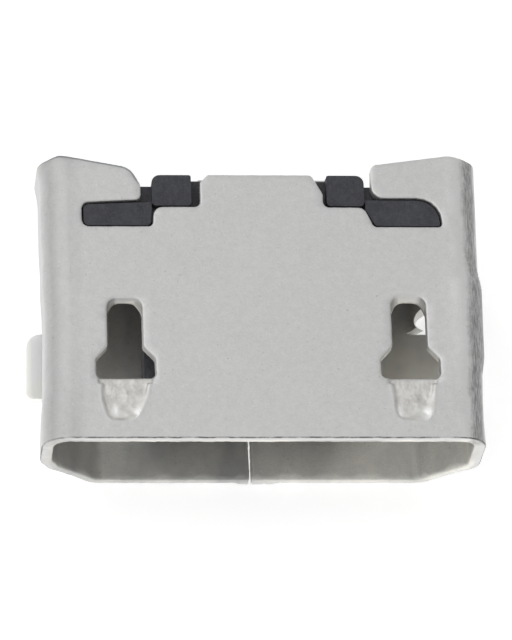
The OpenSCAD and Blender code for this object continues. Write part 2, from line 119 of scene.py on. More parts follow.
RUNS, HALF_RING = make_runs()
SIDE_RUN, MID_BEND, SLANT_WALL, NARROW_WALL = RUNS[2], RUNS[3], RUNS[4], RUNS[6]
FOOT_ROOT_S = NARROW_WALL[0]
FOOT_ROOT_X = NARROW_HALF - TAKE_LOW


def ring_frame(s):
    """Outer point and outward normal at distances s round the sheet, as x, z, nx, nz."""
    side = np.where(s < 0, -1.0, 1.0)
    a = np.abs(s)
    x = np.zeros_like(a)
    z = np.zeros_like(a)
    nx = np.zeros_like(a)
    nz = np.ones_like(a)
    for start, length, px, pz, heading, outer, turn in RUNS:
        m = a >= start
        d = a[m] - start
        if outer:
            at = heading + np.minimum(d / length, 1.0) * turn
            x[m] = px - outer * math.sin(heading) + outer * np.sin(at)
            z[m] = pz - outer * math.cos(heading) + outer * np.cos(at)
        else:
            at = np.full_like(d, heading)
            x[m] = px + d * math.cos(heading)
            z[m] = pz - d * math.sin(heading)
        nx[m] = np.sin(at)
        nz[m] = np.cos(at)
    return x * side, z, nx * side, nz


def slant_tables():
    """Distance up the sheet from a foot's root, with the sheet's mid x and z there."""
    longest, count = 1.5, 301
    up = np.linspace(0.0, longest, count)
    x, z, nx, nz = ring_frame(FOOT_ROOT_S - up)
    return up, x - nx * SHEET / 2, z - nz * SHEET / 2


UP, UP_X, UP_Z = slant_tables()
FOOT_TOP = float(np.interp(SHEET + SLANT_RISE - TAKE_MID / 2, UP_Z, UP))
# The foot is drawn shorter in the unfolded sheet, to leave room for the opening's far edge
FOOT_DRAWN = FOOT_TOP - 0.16
FOOT_STRETCH = (FOOT_TIP - FOOT_ROOT_X) / FOOT_DRAWN
# Width of the slit beside the root of a foot
LANCE = 0.008
# Smallest length that counts as one
NEAR_ZERO = 1e-6


def in_foot(s, y):
    """Which points of the unfolded sheet belong to a foot, and so lie flat on the board."""
    up = FOOT_ROOT_S - np.abs(s)
    limit = (FOOT_DRAWN + FOOT_TOP) / 2
    wide = (y > FOOT_FRONT - LANCE / 2) & (y < FOOT_BACK + LANCE / 2)
    return (up > NEAR_ZERO) & (up < limit) & wide


def smooth(t):
    """Soft step from 0 to 1."""
    t = np.clip(t, 0.0, 1.0)
    return t * t * (3 - 2 * t)


def bell(distance, width):
    """Soft hump of height 1 over a place."""
    return np.exp(-(distance / width) ** 2)


def noise_at(x, y, z, scale=1.0):
    """Smooth noise between -1 and 1 at each point."""
    return np.array([noise.noise((a * scale, b * scale, c * scale))
                     for a, b, c in np.broadcast(x, y, z)])


# Unevenness of the two side walls, as depth from the mouth and distance outwards
RIGHT_WAVE = ((0.0, 0.03), (0.25, 0.022), (0.45, 0.012), (0.8, 0.013), (1.1, 0.025),
              (1.26, 0.028), (1.4, 0.046), (1.55, 0.071), (1.8, 0.074), (2.1, 0.075), (2.4, 0.08),
              (2.84, 0.082), (2.98, 0.045), (3.12, 0.028), (4.1, 0.037), (5.1, 0.042))
LEFT_WAVE = ((0.0, 0.03), (0.3, 0.022), (0.7, 0.0), (1.0, -0.03), (2.1, -0.058), (2.5, -0.056),
             (2.9, -0.036), (3.3, -0.042), (3.7, -0.026), (4.3, -0.024), (4.55, -0.028),
             (4.75, -0.01), (4.9, 0.02), (5.1, 0.02))
# Its reach round the sheet from the middle of a side wall, and how soon it fades out there
WAVE_REACH, WAVE_FADE = 1.05, 0.55
# Near the mouth the right slanted wall stands out a little, and the left bend is blunter
MOUTH_REACH, MOUTH_FADE = 1.3, 1.0
RIGHT_SWELL, SWELL_REACH, SWELL_FADE = 0.042, 0.75, 0.35
LEFT_BLUNT, BLUNT_WIDTH = 0.055, 0.16


def from_middle(s, run):
    """Distance round the sheet from the middle of one flat or bend, on either side."""
    return np.abs(np.abs(s) - (run[0] + run[1] / 2))


def wall_wave(s, y):
    """How far a side wall stands out of its true plane."""
    out = np.zeros_like(s)
    weight = smooth((WAVE_REACH - from_middle(s, SIDE_RUN)) / WAVE_FADE)
    for side, wave in ((1, RIGHT_WAVE), (-1, LEFT_WAVE)):
        m = s * side > 0
        out[m] = np.interp(y[m], [p[0] for p in wave], [p[1] for p in wave]) * weight[m]
    near_mouth = smooth((MOUTH_REACH - y) / MOUTH_FADE)
    swell = RIGHT_SWELL * smooth((SWELL_REACH - from_middle(s, SLANT_WALL)) / SWELL_FADE)
    blunt = LEFT_BLUNT * bell(from_middle(s, MID_BEND), BLUNT_WIDTH)
    out += np.where(s > 0, swell, 0.0) * near_mouth
    out -= np.where(s < 0, blunt, 0.0) * near_mouth
    return out


# Widths of the coined ramps at their front and at the window, and the reach past the window
RIGHT_RAMP, LEFT_RAMP, RAMP_PAST = (0.58, 0.74), (0.54, 0.86), 0.06
# Places of the ramps' middles beside the windows' ones
RIGHT_RAMP_SHIFT, LEFT_RAMP_SHIFT = 0.03, 0.08
# Waviness of their sides: height, and speed along and across
RAMP_UNEVEN, UNEVEN_ALONG, UNEVEN_ACROSS = 0.03, 11.0, 9.0
# How far round them the skin is still shaped, and has closer points
RAMP_MARGIN, PATCH_MARGIN = 0.06, 0.07


def ramp_inside(s, y):
    """Distance inside the nearer ramp's outline, negative outside it."""
    right = s > WINDOW_SHIFT
    share = np.clip((y - RAMP_FRONT) / (WINDOW_FRONT - RAMP_FRONT), 0, 1.1)
    middle = np.where(right, WINDOW_X + RIGHT_RAMP_SHIFT,
                      -WINDOW_X - LEFT_RAMP_SHIFT * (1 - share))
    narrow, wide = (np.where(right, *widths) for widths in zip(RIGHT_RAMP, LEFT_RAMP))
    dx = np.abs(s - WINDOW_SHIFT - middle)
    half = narrow / 2 + (wide - narrow) / 2 * share
    round_x = np.clip((dx - (narrow / 2 - RAMP_CORNER)) / RAMP_CORNER, 0, 1)
    front = RAMP_FRONT + RAMP_CORNER * (1 - np.sqrt(1 - round_x ** 2))
    phase = np.where(right, 2.0, 0.0)
    uneven = RAMP_UNEVEN * np.sin(UNEVEN_ALONG * y + phase) * np.sin(UNEVEN_ACROSS * s)
    within = np.minimum(half - dx, y - front) + 0.6 * uneven
    return np.minimum(within, WINDOW_FRONT + RAMP_PAST - y)


# Depth at a ramp's front, width of its soft edge and what the outer side adds to that, the
# spacing of the press's ridges, and the heights of the tool marks and of the lip round it
RAMP_LOW, RAMP_SOFT, RAMP_SOFTER, RIDGE_STEP = 0.020, 0.045, 0.13, 0.09
RIDGE_MARK, ROUGH_MARK, FINE_MARK, RAMP_LIP = 0.0016, 0.007, 0.0022, 0.003


def surface_height(s, y):
    """Height of the outer skin over its true place: coined ramps with their tool marks."""
    h = np.zeros_like(s)
    inside = ramp_inside(s, y)
    m = inside > -RAMP_MARGIN
    share = (y[m] - RAMP_FRONT) / (WINDOW_FRONT - RAMP_FRONT)
    dx = np.abs(s[m] - WINDOW_SHIFT) - WINDOW_X
    to_right = smooth((dx * np.sign(s[m] - WINDOW_SHIFT) + 0.1) / 0.2)
    soft = RAMP_SOFT + RAMP_SOFTER * smooth(1 - share) * to_right
    pressed = smooth((inside[m] + RAMP_PAST * (y[m] > WINDOW_FRONT - 0.1)) / soft)
    depth = RAMP_LOW + (RAMP_DEPTH - RAMP_LOW) * np.clip(share, 0, 1.2)
    seed = np.where(s[m] < 0, 3.7, 9.1)
    bend = noise_at(dx, y[m], seed, 4.0)
    ridges = np.sin(2 * math.pi * (dx + 0.12 * bend + 0.25 * (y[m] - 0.7)) / RIDGE_STEP)
    rough = noise_at(dx * 1.3, y[m], seed, 6.0)
    fine = noise_at(dx, y[m], seed + 2.0, 16.0)
    ridged = smooth((share - 0.35) / 0.3) * np.clip(0.5 + 1.5 * rough, 0, 1)
    marks = RIDGE_MARK * ridges * ridged + ROUGH_MARK * rough + FINE_MARK * fine
    lip = RAMP_LIP * smooth(1 - np.abs(inside[m] + 0.02) / 0.03)
    h[m] = -pressed * (depth - marks) + lip
    return h


# Depth in the sheet at which the outer skin's marks have died out
MARKS_REACH = 0.12


def sheet_points(s, y, t):
    """Points of the folded sheet at depth t under the outer skin, in metres."""
    x, z, nx, nz = ring_frame(s)
    foot = in_foot(s, y)
    side = np.where(s < 0, -1.0, 1.0)
    x = np.where(foot, side * (FOOT_ROOT_X + FOOT_STRETCH * (FOOT_ROOT_S - np.abs(s))), x)
    z = np.where(foot, 0.0, z)
    nx = np.where(foot, 0.0, nx)
    nz = np.where(foot, -1.0, nz)
    fade = np.clip(1 - t / MARKS_REACH, 0, 1)
    lift = wall_wave(s, y) + surface_height(s, y) * fade
    lift = np.where(foot, 0.0, lift)
    points = np.stack([x + nx * (lift - t), y - CENTRE_Y, z + nz * (lift - t)], axis=1)
    return points * MM


# Outlines of the unfolded sheet, as closed rows of points (s, y)

OUTLINE_STEP, WINDOW_STEP = 0.045, 0.035


def rounded(corners, radius, step=OUTLINE_STEP):
    """Closed outline from corners (s, y) or (s, y, own radius), in even short steps."""
    least_turn, side_share, fan = 0.03, 0.96, math.radians(18)
    out = []
    n = len(corners)
    for i, corner in enumerate(corners):
        p = np.array(corner[:2], float)
        a = np.array(corners[i - 1][:2], float) - p
        b = np.array(corners[(i + 1) % n][:2], float) - p
        la, lb = np.linalg.norm(a), np.linalg.norm(b)
        r = corner[2] if len(corner) > 2 else radius
        half = math.acos(np.clip(np.dot(a, b) / (la * lb), -1, 1)) / 2
        if r < NEAR_ZERO or half > math.pi / 2 - least_turn:
            out.append(p)
            continue
        ra = corners[i - 1][2] if len(corners[i - 1]) > 2 else radius
        rb = corners[(i + 1) % n][2] if len(corners[(i + 1) % n]) > 2 else radius
        take = min(r / math.tan(half), side_share * la * r / (r + ra),
                   side_share * lb * r / (r + rb))
        r = take * math.tan(half)
        mid = a / la + b / lb
        mid /= np.linalg.norm(mid)
        centre = p + mid * (r / math.sin(half))
        p0, p1 = p + a / la * take, p + b / lb * take
        a0 = math.atan2(*(p0 - centre)[::-1])
        a1 = math.atan2(*(p1 - centre)[::-1])
        turn = (a1 - a0 + math.pi) % (2 * math.pi) - math.pi
        count = max(3, int(abs(turn) / fan))
        for k in range(count + 1):
            at = a0 + turn * k / count
            out.append(centre + r * np.array([math.cos(at), math.sin(at)]))
    return resampled(np.array(out), step)


def resampled(points, step):
    """The outline with every side cut into equal parts no longer than a step."""
    shortest = 1e-5
    out = []
    for i, p in enumerate(points):
        q = points[(i + 1) % len(points)]
        length = np.linalg.norm(q - p)
        if length < shortest:
            continue
        count = max(1, int(math.ceil(length / step)))
        out += [p + (q - p) * k / count for k in range(count)]
    return np.array(out)


def oriented(points, outer):
    """The outline with the material on its left."""
    x, y = points[:, 0], points[:, 1]
    area = np.sum(x * np.roll(y, -1) - np.roll(x, -1) * y) / 2
    return points if (area > 0) == outer else points[::-1]


# Height over the board at which the slanted walls' rear edge leaves the narrow wall's
REAR_SLOPE_Z = 0.30


def rear_edge(s, peak):
    """Depth of the rear edge of the bends, side, slanted and narrow walls."""
    x, z, nx, nz = ring_frame(s)
    zm = z - nz * SHEET / 2
    share = np.clip((zm - REAR_SLOPE_Z) / (SHEET + SLANT_RISE - REAR_SLOPE_Z), 0, 1)
    y = share * (SIDE_Y - NARROW_Y) + NARROW_Y
    over_bend = np.interp(np.abs(x - nx * SHEET / 2), (peak, OPENING_W / 2), (DEPTH, SIDE_Y))
    return np.where(np.abs(s) < SIDE_RUN[0], over_bend, y)


def seam_edge(e):
    """Corners of the seam's dovetail lock, grown by e all round, from front to rear."""
    taper = (LOCK_WIDE - LOCK_NECK) / 2
    shift = e * (taper + math.hypot(LOCK_REACH, taper)) / LOCK_REACH
    y1, y2 = LOCK_FRONT, LOCK_FRONT + LOCK_WIDE
    return [(e, y1 + taper - shift), (LOCK_REACH + e, y1 - shift),
            (LOCK_REACH + e, y2 + shift), (e, y2 - taper + shift)]


# Corner radius at the seam, stretches of the rear edge that are left out at the seam and at
# the hooks, and the number of points on each wall and bend between them
SEAM_ROUND, SEAM_CLEAR, HOOK_CLEAR, REAR_SAMPLES = 0.05, 0.3, 0.06, (30, 30, 24, 10)


def outer_outline():
    """Edge of the whole sheet: mouth, seam with its lock, and rear edges."""
    e = SEAM_GAP / 2
    right_s, left_s = HALF_RING - SEAM_X, -HALF_RING - SEAM_X
    right = [(right_s - x, y, SEAM_ROUND) for x, y in seam_edge(e)]
    left = [(left_s - x, y, SEAM_ROUND) for x, y in seam_edge(-e)]
    stops = (HALF_RING - SEAM_CLEAR, NARROW_WALL[0], SLANT_WALL[0], SIDE_RUN[0],
             REAR_LEFT[0][0] + HOOK_CLEAR)
    parts = [np.linspace(a, b, n) for a, b, n in zip(stops, stops[1:], REAR_SAMPLES)]
    samples = np.concatenate(parts[:1] + [part[1:] for part in parts[1:]])
    corners = [(left_s + e, 0.0, SEAM_ROUND), (right_s - e, 0.0, SEAM_ROUND)]
    corners += right
    corners += [(right_s - e, NARROW_Y, SEAM_ROUND)]
    corners += [(s, y, 0.0) for s, y in zip(samples, rear_edge(samples, REAR_RIGHT[0][0]))]
    corners += REAR_RIGHT
    corners += [(-s, y, r) for s, y, r in REAR_LEFT[::-1]]
    corners += [(-s, y, 0.0)
                for s, y in zip(samples[::-1], rear_edge(samples[::-1], REAR_LEFT[0][0]))]
    corners += [(left_s + e, NARROW_Y, SEAM_ROUND)]
    corners += left[::-1]
    return oriented(rounded(corners, REAR_CORNER), True)


# Rear ends of the latch windows: corner radius and extra length, left and right
WINDOW_REAR_ROUND, WINDOW_EXTRA = 0.16, {-1: 0.01, 1: 0.05}


def window_outline(side):
    """T-shaped latch window in the wide wall, wide in front and with its stem to the rear."""
    wide, stem = WINDOW_WIDE / 2, WINDOW_STEM / 2
    y0, y1 = WINDOW_FRONT, WINDOW_FRONT + WINDOW_WIDE_LEN
    y2, y3 = y1 + WINDOW_SHOULDER, WINDOW_FRONT + WINDOW_LEN + WINDOW_EXTRA[side]
    half = [(wide, y0, WINDOW_CORNER), (wide, y1, WINDOW_CORNER), (stem, y2, WINDOW_CORNER),
            (stem, y3, WINDOW_REAR_ROUND)]
    corners = half + [(-x, y, r) for x, y, r in half[::-1]]
    return oriented(rounded([(WINDOW_SHIFT + side * WINDOW_X + x, y, r) for x, y, r in corners],
                            WINDOW_CORNER, WINDOW_STEP), False)


# Height of the slits beside a foot's root, and corner radii of the opening and of the foot
SLIT_TOP, SHARP, WINDOW_TOP_BACK, WINDOW_TOP_FRONT = 0.11, 0.01, 0.12, 0.08
FOOT_ROUND_BACK, FOOT_ROUND_FRONT, FOOT_SKEW = 0.24, 0.11, 0.02
# Angles at which the round relief holes meet the slits, in degrees from each hole's rear
BACK_MEETS, FRONT_MEETS = 128, 47


def foot_window_outline(side):
    """Slot round three sides of a foot, in distances up from the bend line at its root."""
    def round_end(y, reach, width, first, last):
        """Points of a relief hole's arc round the depth y."""
        count = 9
        at = np.radians(np.linspace(first, last, count))
        x = RELIEF_START + RELIEF_BACK / 2 - reach * np.sin(at)
        return [(u, v, 0.0) for u, v in zip(np.interp(x, UP_X, UP), y + width * np.cos(at))]

    back, front = RELIEF_BACK / 2, RELIEF_FRONT / 2
    corners = [(FOOT_TOP, FOOT_BACK + RELIEF_BACK, WINDOW_TOP_BACK)]
    corners += round_end(FOOT_BACK + back, back, back, 0, BACK_MEETS)
    corners += [(SLIT_TOP, FOOT_BACK + LANCE, SHARP), (SLIT_TOP, FOOT_BACK, SHARP),
                (FOOT_DRAWN - FOOT_SKEW, FOOT_BACK, FOOT_ROUND_BACK),
                (FOOT_DRAWN, FOOT_FRONT, FOOT_ROUND_FRONT),
                (SLIT_TOP, FOOT_FRONT, SHARP), (SLIT_TOP, FOOT_FRONT - LANCE, SHARP)]
    corners += round_end(FOOT_FRONT - front, front, front, FRONT_MEETS, 180)
    corners += [(FOOT_TOP, FOOT_FRONT - RELIEF_FRONT, WINDOW_TOP_FRONT)]
    points = [(side * (FOOT_ROOT_S - u), y, r) for u, y, r in corners]
    return oriented(rounded(points, SHARP), False)


def inset(points, distance):
    """Outline moved into the material on its left by a distance, one value or one a point."""
    d0 = points - np.roll(points, 1, axis=0)
    d1 = np.roll(points, -1, axis=0) - points
    n0 = np.stack([-d0[:, 1], d0[:, 0]], 1) / np.linalg.norm(d0, axis=1)[:, None]
    n1 = np.stack([-d1[:, 1], d1[:, 0]], 1) / np.linalg.norm(d1, axis=1)[:, None]
    n = n0 + n1
    n /= np.linalg.norm(n, axis=1)[:, None]
    least_cosine, most_stretch = 0.2, 1.4
    stretch = np.clip(1 / np.maximum(np.sum(n * n0, axis=1), least_cosine), 1, most_stretch)
    return points + n * (np.broadcast_to(distance, len(points)) * stretch)[:, None]


def inside_all(points, loops):
    """Which points lie in the material: an odd number of outline edges to their right."""
    batch = 2000
    odd = np.zeros(len(points), bool)
    for loop in loops:
        a, b = loop, np.roll(loop, -1, axis=0)
        for k in range(0, len(points), batch):
            p = points[k:k + batch]
            py = p[:, 1][:, None]
            cross = (a[:, 1] > py) != (b[:, 1] > py)
            with np.errstate(divide="ignore", invalid="ignore"):
                sx = a[:, 0] + (py - a[:, 1]) / (b[:, 1] - a[:, 1]) * (b[:, 0] - a[:, 0])
            to_right = np.sum(cross & (p[:, 0][:, None] < sx), axis=1)
            odd[k:k + batch] ^= (to_right % 2).astype(bool)
    return odd


# Spacing of the skin's inner points: columns on flats and bends, in the lock, rows, and ramps
FLAT_STEP, BEND_STEP, LOCK_STEP, ROW_STEP, RAMP_STEP = 0.13, 0.045, 0.12, 0.11, 0.02
FIRST_ROW, LOCK_PAST = 0.06, 0.2
# Waviness of the rows, and the closer points' half width, reach before a ramp and row shift
ROW_WAVE, ROW_WAVE_SPEED = 0.03, 37.0
PATCH_HALF, PATCH_FRONT, PATCH_SHIFT = 0.5, 0.08, 0.009
# Least distance of those points from the outlines, on the outer and the inner skin
OUTER_CLEAR, INNER_CLEAR = 0.02, 0.03


def staggered_grid(columns, rows):
    """Grid points whose rows wave a little, so that no four of them lie on one circle."""
    grid = np.stack(np.meshgrid(columns, rows), -1).reshape(-1, 2)
    grid[:, 1] += ROW_WAVE * np.sin(grid[:, 0] * ROW_WAVE_SPEED)
    return grid


def ramp_patch(side):
    """Closer points on one ramp, every other row shifted by about half a step."""
    xs = np.arange(-PATCH_HALF, PATCH_HALF + RAMP_STEP / 2, RAMP_STEP)
    ys = np.arange(RAMP_FRONT - PATCH_FRONT, WINDOW_FRONT, RAMP_STEP)
    patch = np.stack(np.meshgrid(xs, ys), -1).reshape(-1, 2)
    odd_row = np.round(patch[:, 1] / RAMP_STEP) % 2
    patch[:, 0] += WINDOW_SHIFT + side * WINDOW_X + PATCH_SHIFT * odd_row
    return patch[ramp_inside(patch[:, 0], patch[:, 1]) > -PATCH_MARGIN]


def fill_points(loops, fine):
    """Inner points of a skin: columns that follow the bends, and closer ones on the ramps."""
    columns = []
    for start, length, _, _, _, outer, _ in RUNS:
        step = BEND_STEP if outer else FLAT_STEP
        columns.append(np.linspace(start, start + length, max(2, int(length / step)) + 1))
    half = np.unique(np.round(np.concatenate(columns), 6))
    right = half[half > 0]
    tail = np.arange(HALF_RING + LOCK_STEP, HALF_RING + LOCK_REACH + LOCK_PAST, LOCK_STEP)
    columns = np.concatenate([-tail, -right, [0.0], right])
    points = staggered_grid(columns, np.arange(FIRST_ROW, DEPTH, ROW_STEP))
    if fine:
        off_ramps = ramp_inside(points[:, 0], points[:, 1]) < -RAMP_MARGIN
        points = np.concatenate([points[off_ramps], ramp_patch(-1), ramp_patch(1)])
    points = points[inside_all(points, loops)]
    edge = np.concatenate(loops)
    tree = kdtree.KDTree(len(edge))
    for index, p in enumerate(edge):
        tree.insert((p[0], p[1], 0.0), index)
    tree.balance()
    near = [tree.find((p[0], p[1], 0.0))[2] for p in points]
    return points[np.array(near) > (OUTER_CLEAR if fine else INNER_CLEAR)]


def triangulated(loops, extra):
    """Triangles of the material between the outlines, over the outlines' points and extra."""
    points = np.concatenate(list(loops) + [extra])
    edges = []
    start = 0
    for loop in loops:
        n = len(loop)
        edges += [(start + k, start + (k + 1) % n) for k in range(n)]
        start += n
    whole_area, same_point = 0, 1e-7
    verts, _, faces, origin, _, _ = geometry.delaunay_2d_cdt(
        [Vector(p) for p in points], edges, [], whole_area, same_point, True)
    if len(verts) != len(points):
        print("outline points merged or split:", len(points), len(verts))
    back = [o[0] if o else -1 for o in origin]
    tris = np.array([[back[k] for k in f] for f in faces if len(f) == 3])
    tris = tris[(tris >= 0).all(axis=1)]
    middle = points[tris].mean(axis=1)
    tris = tris[inside_all(middle, loops)]
    a, b, c = points[tris[:, 0]], points[tris[:, 1]], points[tris[:, 2]]
    area = (b[:, 0] - a[:, 0]) * (c[:, 1] - a[:, 1]) - (b[:, 1] - a[:, 1]) * (c[:, 0] - a[:, 0])
    tris[area < 0] = tris[area < 0][:, ::-1]
    return points, tris


# The left rear hook's edge is rolled over from this place across and this depth, softly
HOOK_ROLL_X, HOOK_ROLL_Y, HOOK_SOFT_X, HOOK_SOFT_Y = -1.75, 4.45, 0.2, 0.15
# Stretches by the mouth and by the seam, and how softly they end
MOUTH_ZONE, MOUTH_SOFT, SEAM_ZONE, SEAM_SOFT = 0.05, 0.04, 0.5, 0.2
# The mouth's low lip starts at the lower bends, and keeps clear of the seam
LIP_SOFT, LIP_CLEAR, LIP_SEAM_SOFT = 0.6, 0.2, 0.2
# The five outlines of the sheet, in their order in the skin
EDGE, WINDOWS, FOOT_WINDOWS = 0, (1, 2), (3, 4)
RIGHT_WINDOW = 2
# Rounding of a cut edge on the outer skin: its radius, and what the latch windows, an uneven
# cut, the low lip of the mouth and the left rear hook add to it
OUT_ROUND, OUT_WINDOW, OUT_JAG, OUT_LIP, OUT_HOOK = 0.030, 0.010, 0.008, 0.075, 0.030
# The same on the inner skin, for an uneven cut, the mouth and the seam
IN_ROUND, IN_JAG, IN_MOUTH, IN_SEAM = 0.014, 0.010, 0.012, 0.024
# Raggedness of the cut face everywhere, at the mouth and by the seam
RAGGED, RAGGED_MOUTH, RAGGED_SEAM = 0.004, 0.006, 0.008
# The foot openings are cut more cleanly: shares of the noise and of the two roundings
FOOT_NOISE, FOOT_OUT, FOOT_IN = 0.3, 0.45, 0.6
# Countersink of a rear relief hole: how wide, over what width, and its place behind the foot
FLARE, FLARE_WIDTH, FLARE_BEHIND = 0.08, 0.09, 0.23
# The cut's inner end at a latch window's rear leans forward, more towards the corners
PULL, PULL_RIGHT, PULL_CORNER, PULL_LEN = 0.03, 0.025, 0.13, 0.50
# Share of the sheet at which that lean starts, and over which it grows
PULL_FROM = 0.4
# Depth at which the seam's inner rounding starts, and over which it grows
IN_SEAM_FROM, IN_SEAM_SOFT = 0.12, 0.1
# Torn part of the cut: share of its depth, plain inset, noise and share of the countersink
TORN_LEVELS = ((0.35, 0.002, 0.004, 0.65), (0.70, 0.003, 0.006, 0.3))
# Strength of the painted highlight on a foot opening's cut face away from its relief hole, and its
# loss on a rounding
FOOT_CUT_HIGHLIGHT_LOW, ROUND_HIGHLIGHT_LOSS = 0.25, 0.55
# Angles of the rows of points on the outer and the inner rounding
OUT_ANGLES, IN_ANGLES = (90, 60, 30, 0), (0, 45, 90)


def cut_levels(number, loop):
    """How one outline changes through the sheet.

    Gives its levels from the outer to the inner skin, each as inset, depth and how flat the
    rounding is there, with the forward lean of the cut's inner end and the strength of the cut's
    painted highlight.
    """
    s, y = np.abs(loop[:, 0]), loop[:, 1]
    jag = noise_at(loop[:, 0], y, 1.3 + number, 9.0)
    fine_jag = noise_at(loop[:, 0], y, 7.7 + number, 26.0)
    if number in FOOT_WINDOWS:
        jag, fine_jag = FOOT_NOISE * jag, FOOT_NOISE * fine_jag
    at_mouth = (number == EDGE) * smooth((MOUTH_ZONE - y) / MOUTH_SOFT)
    by_seam = (number == EDGE) * smooth((SEAM_ZONE - HALF_RING + s) / SEAM_SOFT)
    hook = (number == EDGE) * smooth((HOOK_ROLL_X - loop[:, 0]) / HOOK_SOFT_X)
    hook = hook * smooth((y - HOOK_ROLL_Y) / HOOK_SOFT_Y)
    low_lip = at_mouth * smooth((s - MID_BEND[0]) / LIP_SOFT)
    low_lip = low_lip * smooth((HALF_RING - s - LIP_CLEAR) / LIP_SEAM_SOFT)

    out_r = OUT_ROUND + OUT_WINDOW * (number in WINDOWS) + OUT_JAG * jag + OUT_LIP * low_lip
    in_r = (IN_ROUND + IN_JAG * np.abs(fine_jag)
            + at_mouth * (IN_MOUTH * np.clip(jag, 0, 1) + IN_MOUTH))
    flare, pull, bright = np.zeros(len(loop)), np.zeros(len(loop)), 1.0
    if number in FOOT_WINDOWS:
        out_r, in_r = FOOT_OUT * out_r, FOOT_IN * in_r
        low_side = FOOT_ROOT_S - float(np.interp(RELIEF_START, UP_X, UP))
        flare = FLARE * bell(np.hypot(s - low_side, y - FOOT_BACK - FLARE_BEHIND), FLARE_WIDTH)
        bright = FOOT_CUT_HIGHLIGHT_LOW + (1 - FOOT_CUT_HIGHLIGHT_LOW) * flare / FLARE
    if number in WINDOWS:
        right = number == RIGHT_WINDOW
        middle = WINDOW_SHIFT + (WINDOW_X if right else -WINDOW_X)
        off = np.clip(np.abs(loop[:, 0] - middle) / (WINDOW_STEM / 2), 0, 1)
        rear = smooth((y - WINDOW_FRONT - WINDOW_LEN + PULL_LEN) / PULL_LEN)
        pull = (PULL + PULL_RIGHT * right + PULL_CORNER * off ** 3) * rear
    in_r = in_r + IN_SEAM * by_seam * smooth((y - IN_SEAM_FROM) / IN_SEAM_SOFT)
    out_r = out_r + OUT_HOOK * hook

    levels = []
    for at in OUT_ANGLES:
        a = math.radians(at)
        levels.append((out_r * (1 - math.cos(a)) + flare, out_r * (1 - math.sin(a)), at / 90))
    between = SHEET - in_r - out_r
    for (deep, plain, rough, flared), uneven in zip(TORN_LEVELS, (jag, fine_jag)):
        levels.append((rough * uneven + plain + flared * flare, out_r + between * deep, 0.0))
    for at in IN_ANGLES:
        a = math.radians(at)
        levels.append((in_r * (1 - math.cos(a)), SHEET - in_r * (1 - math.sin(a)), at / 90))
    ragged = RAGGED * fine_jag + RAGGED_MOUTH * at_mouth * jag + RAGGED_SEAM * by_seam * fine_jag
    levels = [(d + ragged * (1 - flat), t, flat) for d, t, flat in levels]
    return levels, pull, bright


def cut_ring(number, loop):
    """The rows of points down one cut face, each with its depth and painted highlight."""
    levels, pull, bright = cut_levels(number, loop)
    ring = []
    for d, t, flat in levels:
        points = inset(loop, d)
        points[:, 1] -= pull * smooth((t - PULL_FROM * SHEET) / (PULL_FROM * SHEET))
        ring.append((points, np.broadcast_to(t, len(loop)), (1 - ROUND_HIGHLIGHT_LOSS * flat) * bright))
    return ring


# Painted highlights in the hollows of the coined ramps: shift from the window's middle on the
# right and the left, depth behind the ramp's front, squeeze across, and strength
HOLLOWS = ((0.24, 0.21, 0.10, 0.8, 0.9), (-0.20, -0.19, 0.17, 0.4, 1.0))
HOLLOW_WIDTH = 0.11
# Softness of a ramp's border, and where and how softly the feet's paler tone begins
COINED_SOFT, FOOT_TONE_FROM, FOOT_TONE_SOFT = 0.03, 0.03, 0.1


def ramp_glint(s, y):
    """Strength of the painted highlights in the ramps' hollows at each point."""
    right = s > WINDOW_SHIFT
    glint = np.zeros_like(s)
    for to_right, to_left, behind, squeeze, strength in HOLLOWS:
        middle = np.where(right, WINDOW_X + to_right, -WINDOW_X + to_left)
        off = np.hypot((s - WINDOW_SHIFT - middle) / squeeze, y - RAMP_FRONT - behind)
        glint = np.maximum(glint, strength * bell(off, HOLLOW_WIDTH))
    return glint


